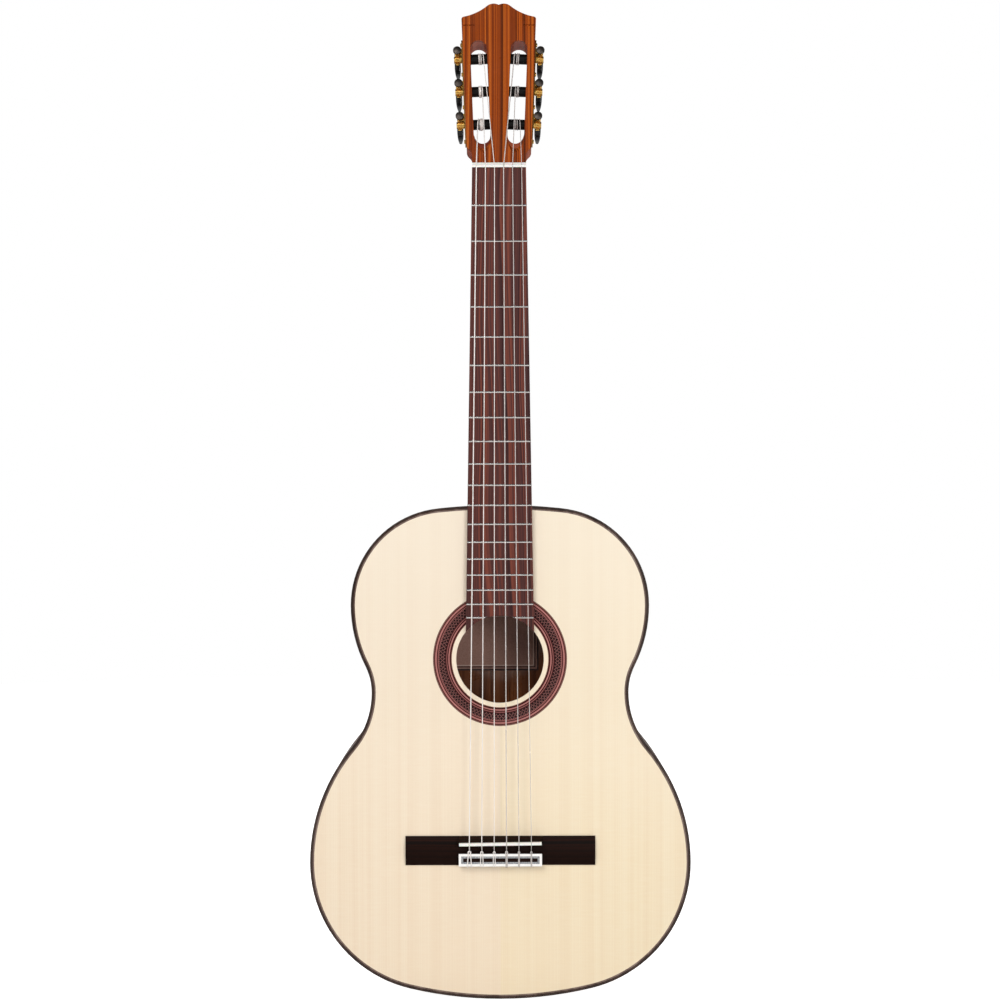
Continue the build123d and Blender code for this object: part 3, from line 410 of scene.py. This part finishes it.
def border():
    """The tie block's bone frame, with a strip of grey shell inside it."""
    frame_edge = Finish("border_bone", Coat_Weight=0.4, Coat_Roughness=0.1)
    low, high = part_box("tie_block_border")
    axes = frame_edge.add("ShaderNodeSeparateXYZ", {0: frame_edge.place}).outputs
    off_x = frame_edge.math("SUBTRACT", high.x, frame_edge.math("ABSOLUTE", axes[0]))
    from_middle = frame_edge.math("ABSOLUTE", frame_edge.math("SUBTRACT", axes[2], (low.z + high.z) / 2))
    off_z = frame_edge.math("SUBTRACT", (high.z - low.z) / 2, from_middle)
    edge = frame_edge.math("MINIMUM", off_x, off_z)
    cloud = frame_edge.noise(frame_edge.place, 700, 3)
    shell = frame_edge.blend(frame_edge.ramp(cloud, 0.35, 0.7), rgb(128, 130, 134), rgb(176, 178, 180))
    inner = frame_edge.math("GREATER_THAN", edge, BORDER_BONE * MM)
    frame_edge.set("Base Color", frame_edge.blend(inner, rgb(255, 253, 250), shell))
    frame_edge.gloss(0.2, 0.32)
    joint = frame_edge.math("COMPARE", edge, BORDER_BONE * MM, 0.00008)
    frame_edge.bump(frame_edge.math("MULTIPLY", joint, -1.0), 0.3, 0.0001)
    return frame_edge.material


def paper():
    """Label paper: two dark rules and a pale one inside its edge, on a fibrous ground."""
    sheet = Finish("label_paper", Roughness=0.8)
    low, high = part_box("label")
    axes = sheet.add("ShaderNodeSeparateXYZ", {0: sheet.place}).outputs
    half_x, half_z = (high.x - low.x) / 2, (high.z - low.z) / 2
    centre_x, centre_z = (high.x + low.x) / 2, (high.z + low.z) / 2
    off_x = sheet.math("SUBTRACT", half_x, sheet.math("ABSOLUTE", sheet.math("SUBTRACT", axes[0], centre_x)))
    off_z = sheet.math("SUBTRACT", half_z, sheet.math("ABSOLUTE", sheet.math("SUBTRACT", axes[2], centre_z)))
    edge = sheet.math("MINIMUM", off_x, off_z)
    outer_rule = sheet.math("COMPARE", edge, 0.0009, 0.0009)
    inner_rule = sheet.math("COMPARE", edge, 0.0036, 0.0006)
    rule = sheet.math("MAXIMUM", outer_rule, inner_rule)
    pale_rule = sheet.math("COMPARE", edge, 0.0052, 0.0003)
    fibre = sheet.noise(sheet.place, 700, 4, 0.7)
    ground = sheet.blend(sheet.ramp(fibre, 0.35, 0.75), rgb(186, 144, 130), rgb(160, 118, 104))
    ground = sheet.blend(pale_rule, ground, rgb(232, 208, 196))
    sheet.set("Base Color", sheet.blend(rule, ground, rgb(70, 48, 44)))
    sheet.bump(fibre, 0.2, 0.0001)
    return sheet.material


def wound_string():
    """Silver wire wrapped round the core, seen as fine ridges across the string."""
    wire = Finish("wound_wire", Metallic=0.1, Coat_Weight=0.4)
    axes = wire.add("ShaderNodeSeparateXYZ", {0: wire.place}).outputs
    ridges = wire.math("SINE", wire.math("MULTIPLY", axes[2], 2 * math.pi / WRAP_PITCH))
    marks = wire.gloss(0.25, 0.42)
    wire.set("Base Color", wire.blend(marks["Smudge"], rgb(255, 250, 247), rgb(244, 236, 230)))
    wire.bump(ridges, 0.5, 0.00004)
    return wire.material


def nylon():
    """Clear rectified nylon with a faint haze."""
    line = Finish("nylon", Transmission_Weight=0.35, IOR=1.5, Coat_Weight=0.2)
    haze = line.noise(line.stretch(line.place, (2000, 2000, 120)), 1.0, 2)
    line.set("Base Color", line.blend(line.ramp(haze, 0.3, 0.7), rgb(246, 240, 236), rgb(230, 222, 218)))
    line.gloss(0.18, 0.3)
    return line.material


MATERIALS = {
    "spruce_bass": spruce("spruce_bass", ((243, 221, 192), (246, 226, 198), (248, 230, 203)), 0.31),
    "spruce_treble": spruce("spruce_treble", ((243, 222, 185), (246, 227, 191), (248, 231, 197)), 0.31),
    "brace_spruce": spruce("brace_spruce", ((214, 180, 138), (226, 196, 156), (234, 206, 168))),
    "body_rosewood": dark_wood(
        "body_rosewood", ((66, 30, 16), (116, 66, 38), (146, 88, 52), (168, 108, 68)),
        streaks=46, wander=0.05, coat=0.6, pore_depth=0.15,
    ),
    "bridge_rosewood": dark_wood(
        "bridge_rosewood", ((7, 2, 0), (20, 6, 2), (36, 12, 4), (58, 21, 7)),
        turn=("Y_AXIS", math.pi / 2), streaks=160, gloss=(0.4, 0.55), coat=0.0, shine=0.08,
    ),
    "board_rosewood": dark_wood(
        "board_rosewood", ((42, 22, 26), (80, 48, 46), (112, 58, 48), (152, 80, 60)),
        streaks=240, wander=0.045, coat=0.0, gloss=(0.45, 0.6), shine=0.12,
    ),
    "veneer_rosewood": dark_wood(
        "veneer_rosewood", ((40, 12, 3), (134, 54, 14), (180, 82, 20), (208, 110, 34)),
        streaks=270, wander=0.014, turn=("X_AXIS", HEAD_TILT), coat=0.25, pore_depth=0.2, shine=0.15,
    ),
    # The bindings are rosewood, darkened past its own colour by painted shade that stands for the shading of
    # a rounded outer edge the square edge lacks
    "binding_rosewood": dark_wood(
        "binding_rosewood", ((36, 24, 20), (54, 40, 35), (66, 50, 44), (80, 62, 54)),
        coat=0.2, pore_depth=0.2, shine=0.2,
    ),
    "edge_rosewood": dark_wood(
        "edge_rosewood", ((50, 32, 26), (82, 58, 48), (104, 76, 64), (120, 92, 78)), pore_depth=0.2,
    ),
    "purfling_wood": dark_wood(
        "purfling_wood", ((86, 66, 58), (112, 92, 84), (132, 112, 104), (146, 128, 120)),
        shine=0.15, coat=0.1,
    ),
    "neck_cedar": dark_wood(
        "neck_cedar", ((120, 50, 34), (160, 78, 54), (180, 94, 66), (196, 114, 82)),
        streaks=40, wander=0.03, coat=0.2, pore_depth=0.25, shine=0.2,
    ),
    "lining_cedar": dark_wood(
        "lining_cedar", ((150, 106, 66), (172, 128, 84), (186, 142, 96), (198, 154, 108)), coat=0.0,
    ),
    "mosaic": rosette_mosaic(),
    "rosette_lines": rosette_lines(),
    "gold": metal("gold_plate", (222, 178, 96), 0.26, 0.4, (170, 124, 58)),
    # Painted shade: the tuner plates are the same gold as the gears and worms, in a darker, duller copy that
    # stands for the shade on their edges
    "plate_gold": metal("plate_gold", (150, 112, 62), 0.3, 0.6, (104, 74, 38)),
    "nickel_silver": metal("nickel_silver", (244, 240, 238), 0.12, 0.3),
    "bone": bone(),
    "border": border(),
    "collar_metal": metal("collar_metal", (84, 77, 73), 0.42, 0.3),
    "roller_black": plastic("roller_black", (10, 8, 8), 0.34, 0.05, shine=0.12),
    "button_black": plastic("button_black", (8, 7, 7), 0.2, 0.3),
    "paper": paper(),
    "wound_wire": wound_string(),
    "nylon": nylon(),
}

NODE_FINISH = {
    "soundboard_bass_half": "spruce_bass", "soundboard_treble_half": "spruce_treble",
    "rosette_mosaic": "mosaic", "rosette_rings": "rosette_lines",
    "top_binding": "binding_rosewood", "back_binding": "binding_rosewood", "top_purfling": "purfling_wood",
    "back_bass_half": "body_rosewood", "back_treble_half": "body_rosewood",
    "rib_bass": "body_rosewood", "rib_treble": "body_rosewood", "end_graft": "edge_rosewood",
    "tail_block": "neck_cedar", "heel_block": "neck_cedar", "heel_cap": "body_rosewood",
    "neck_shaft": "neck_cedar", "headstock": "neck_cedar", "headstock_veneer": "veneer_rosewood",
    "linings": "lining_cedar", "harmonic_bars": "brace_spruce", "fan_braces": "brace_spruce",
    "back_braces": "lining_cedar", "back_centre_strip": "body_rosewood", "label": "paper",
    "fingerboard": "board_rosewood", "frets": "nickel_silver", "nut": "bone", "saddle": "bone",
    "bridge": "bridge_rosewood", "tie_block_border": "border",
    "tuner_plate_bass": "plate_gold", "tuner_plate_treble": "plate_gold",
    "plate_screws": "gold", "worm_bearings": "gold",
    "strings_wound": "wound_wire", "strings_plain": "nylon",
}
for tuner in TUNERS:
    NODE_FINISH[f"roller_{tuner}"] = "roller_black"
    NODE_FINISH[f"gear_{tuner}"] = "gold"
    NODE_FINISH[f"worm_{tuner}"] = "gold"
    NODE_FINISH[f"button_{tuner}"] = "button_black"

for name, finish in NODE_FINISH.items():
    mesh = nodes[name].data
    mesh.materials.clear()
    mesh.materials.append(MATERIALS[finish])


# --- Wires, windings and knots ----------------------------------------------------------------


def wire(name, points, radius, finish, body):
    """A round wire along a smooth line through its control points, as a mesh that rides on a body."""
    line = bpy.data.curves.new(name, "CURVE")
    line.dimensions = "3D"
    spline = line.splines.new("NURBS")
    spline.points.add(len(points) - 1)
    for control, point in zip(spline.points, points):
        control.co = (*point, 1)
    spline.order_u = 4
    spline.use_endpoint_u = True
    line.resolution_u = 8
    line.bevel_depth = radius
    line.bevel_resolution = 3
    line.use_fill_caps = True
    drawn = bpy.data.objects.new(name, line)
    mesh = bpy.data.meshes.new_from_object(drawn)
    bpy.data.objects.remove(drawn)
    mesh.materials.clear()
    mesh.materials.append(MATERIALS[finish])
    piece = bpy.data.objects.new(name, mesh)
    bpy.context.scene.collection.objects.link(piece)
    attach(piece, body)


def string_of(half, place):
    """The string, counted from the lowest, that a tuner carries: the outer ones take the near rollers."""
    return place if half == "bass" else 5 - place


def winding(half, place):
    """Turns of a string round its roller, from where it arrives to the hole that holds its end."""
    tuner = f"{half}_{place + 1}"
    number = string_of(half, place)
    radius = STRING_DIAMETERS[number] / 2
    joint = joints[f"roller_{tuner}_turn"]
    origin, axis = Vector(joint["pos_m"]), Vector(joint["axis"])
    along = HEAD_OUT.cross(axis)
    points = []
    turns = WINDING_TURNS[half]
    steps = round(WINDING_STEPS * turns)
    for step in range(-1, steps + 1):
        share = step / steps
        travel = WINDING_END_X[place] - ROLLER_STRING_X[place]
        x = ROLLER_STRING_X[place] + travel * max(share, 0) ** WINDING_CROWD
        centre = origin + axis * (SIDES[half] * x * MM - origin.x) / axis.x
        angle = 2 * math.pi * turns * share
        reach = (ROLLER_RADIUS + radius) * WINDING_LIFT * MM
        points.append(centre + (HEAD_OUT * math.cos(angle) + along * math.sin(angle)) * reach)
    points += [centre - HEAD_OUT * ROLLER_RADIUS * MM * depth for depth in (0.8, 0.2)]
    finish = "wound_wire" if half == "bass" else "nylon"
    wire(f"winding_{tuner}", points, radius * MM, finish, f"roller_{tuner}")


for half in SIDES:
    for place in range(3):
        winding(half, place)

# The tie block, whose top is the border's
tie_low, tie_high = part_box("tie_block_border")
tie_top, tie_rear, tie_front = tie_low.y / MM, tie_low.z / MM, tie_high.z / MM


def tie(number, rear, front, eye, ahead):
    """A string's end, brought back over the tie block and looped round itself in front of it.

    rear and front are half the gap between its two strands at the block's edges, eye is half the
    loop's width and ahead is how far the loop reaches in front, all in millimetres.
    """
    radius = STRING_DIAMETERS[number] / 2
    middle = (number - 2.5) * TIE_SPACING
    over = tie_top - radius
    path = (
        (0.0, TIE_HOLE_Y, tie_rear - 0.1),
        (0.2 * rear, TIE_HOLE_Y - 0.2, tie_rear - 0.3 - radius),
        (0.8 * rear, TIE_HOLE_Y - 1.5, tie_rear - 0.5 - radius),
        (rear, over + 1.2, tie_rear - 0.4 - radius),
        (rear, over - 0.2, tie_rear + 0.2),
        (0.7 * rear + 0.3 * front, over, tie_rear + 3.0),
        (0.3 * rear + 0.7 * front, over, tie_front - 3.0),
        (front, over, tie_front - 0.2),
        (eye, over + 0.5, tie_front + 0.5 * ahead),
        (0.8 * eye, over + 0.9, tie_front + 0.95 * ahead),
        (0.0, over + 0.9, tie_front + 1.15 * ahead),
        (-0.8 * eye, over + 0.9, tie_front + 0.95 * ahead),
        (-eye, over + 0.5, tie_front + 0.5 * ahead),
        (-front, over, tie_front - 0.2),
        (-0.3 * rear - 0.7 * front, over, tie_front - 3.0),
        (-0.7 * rear - 0.3 * front, over, tie_rear + 3.0),
        (-rear, over - 0.2, tie_rear + 0.2),
        (-rear, over + 1.2, tie_rear - 0.4 - radius),
        (-0.8 * rear, over + 2.6, tie_rear - 0.4 - radius),
    )
    points = [Vector((middle + x, y, z)) * MM for x, y, z in path]
    finish = "wound_wire" if number < 3 else "nylon"
    wire(f"string_tie_{number + 1}", points, radius * MM, finish, "root")


for number, shape in enumerate(BASS_TIES + TREBLE_TIES):
    tie(number, *shape)


# --- Tuner collars ----------------------------------------------------------------------------

def lathe(name, profile, centre, axis, finish, body, sides=40):
    """A turned piece: (radius, height) points in millimetres spun round an axis."""
    form = bmesh.new()
    turn = axis.to_track_quat("Z", "Y").to_matrix()
    rings = []
    for radius, height in profile:
        if radius:
            angles = [2 * math.pi * side / sides for side in range(sides)]
            places = [Vector((radius * math.cos(a), radius * math.sin(a), height)) for a in angles]
        else:
            places = [Vector((0, 0, height))]
        rings.append([form.verts.new(centre + turn @ place * MM) for place in places])
    for first, second in zip(rings, rings[1:]):
        for side in range(sides):
            corners = [first[side % len(first)], first[(side + 1) % len(first)],
                       second[(side + 1) % len(second)], second[side % len(second)]]
            form.faces.new(list(dict.fromkeys(corners)))
    bmesh.ops.recalc_face_normals(form, faces=form.faces)
    mesh = bpy.data.meshes.new(name)
    form.to_mesh(mesh)
    form.free()
    mesh.polygons.foreach_set("use_smooth", [True] * len(mesh.polygons))
    mesh.set_sharp_from_angle(angle=math.radians(35))
    mesh.materials.append(MATERIALS[finish])
    piece = bpy.data.objects.new(name, mesh)
    bpy.context.scene.collection.objects.link(piece)
    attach(piece, body)


for tuner in TUNERS:
    joint = joints[f"worm_{tuner}_turn"]
    origin, axis = Vector(joint["pos_m"]), Vector(joint["axis"]).normalized()
    reach = max((vertex.co - origin).dot(axis) for vertex in nodes[f"worm_{tuner}"].data.vertices)
    end = origin + axis * reach
    lathe(f"collar_{tuner}", COLLAR_PROFILE, end, axis, "collar_metal", f"worm_{tuner}")


# --- Camera, light and floor ------------------------------------------------------------------

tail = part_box("rib_bass")[0].z
camera_data = bpy.data.cameras.new("camera")
camera_data.lens = camera_data.sensor_width * VIEW_DISTANCE / VIEW_SPAN
camera = bpy.data.objects.new("camera", camera_data)
camera.location = (0.0003, -VIEW_DISTANCE - 0.0075, -0.320)
camera.rotation_euler = (math.pi / 2, 0.002, 0)
bpy.context.scene.collection.objects.link(camera)
bpy.context.scene.camera = camera


def soft_light(name, place, aim, size, power, colour=(1, 1, 1)):
    """A square area light that faces a point."""
    data = bpy.data.lights.new(name, "AREA")
    data.size = size
    data.energy = power
    data.color = colour
    lamp = bpy.data.objects.new(name, data)
    lamp.location = place
    lamp.rotation_euler = (Vector(aim) - Vector(place)).to_track_quat("-Z", "Y").to_euler()
    bpy.context.scene.collection.objects.link(lamp)


middle = (0, 0, -0.35)
soft_light("key", (-0.9, -2.4, 1.0), middle, 1.3, 33, (1.0, 0.99, 0.97))
soft_light("fill", (1.05, -2.4, -0.25), middle, 0.8, 20)
soft_light("back_left", (-2.2, 1.2, 0.6), middle, 1.0, 18)
soft_light("back_right", (2.2, 1.2, 0.3), middle, 1.0, 16)

world = bpy.data.worlds.new("studio")
bpy.context.scene.world = world
world.use_nodes = True
sky = Tree(world.node_tree)
sky.tree.nodes.clear()
path = sky.add("ShaderNodeLightPath").outputs
seen = sky.add("ShaderNodeBackground", {"Color": (1, 1, 1, 1), "Strength": 1.0})
lit = sky.add("ShaderNodeBackground", {"Color": (1, 1, 1, 1), "Strength": 0.28})
mirrored = sky.add("ShaderNodeBackground", {"Color": (1, 1, 1, 1), "Strength": 0.08})
unseen = sky.add("ShaderNodeMixShader", {0: path["Is Glossy Ray"], 1: lit.outputs[0], 2: mirrored.outputs[0]})
mixed = sky.add("ShaderNodeMixShader", {0: path["Is Camera Ray"], 1: unseen.outputs[0], 2: seen.outputs[0]})
sky.tree.links.new(mixed.outputs[0], sky.add("ShaderNodeOutputWorld").inputs[0])
bpy.context.scene.view_settings.view_transform = "Standard"


def studio_floor():
    """A pale disc just under the tail."""
    mesh = bpy.data.meshes.new("floor")
    form = bmesh.new()
    bmesh.ops.create_circle(form, cap_ends=True, segments=96, radius=3.0)
    form.to_mesh(mesh)
    form.free()
    floor = bpy.data.objects.new("floor", mesh)
    floor.location = (0, 0.6, tail - 0.0005)
    bpy.context.scene.collection.objects.link(floor)
    pale = Finish("floor_paint", Roughness=0.9)
    pale.shader.inputs["Emission Color"].default_value = (1, 1, 1, 1)
    lift = pale.math("MULTIPLY", pale.add("ShaderNodeLightPath").outputs["Is Camera Ray"], 0.95)
    pale.set("Emission Strength", lift)
    mottled = pale.ramp(pale.noise(pale.place, 3, 2), 0.3, 0.7, 0.93, 0.96)
    grey = pale.add("ShaderNodeCombineColor", {0: mottled, 1: mottled, 2: mottled})
    pale.set("Base Color", grey.outputs[0])
    mesh.materials.append(pale.material)


studio_floor()
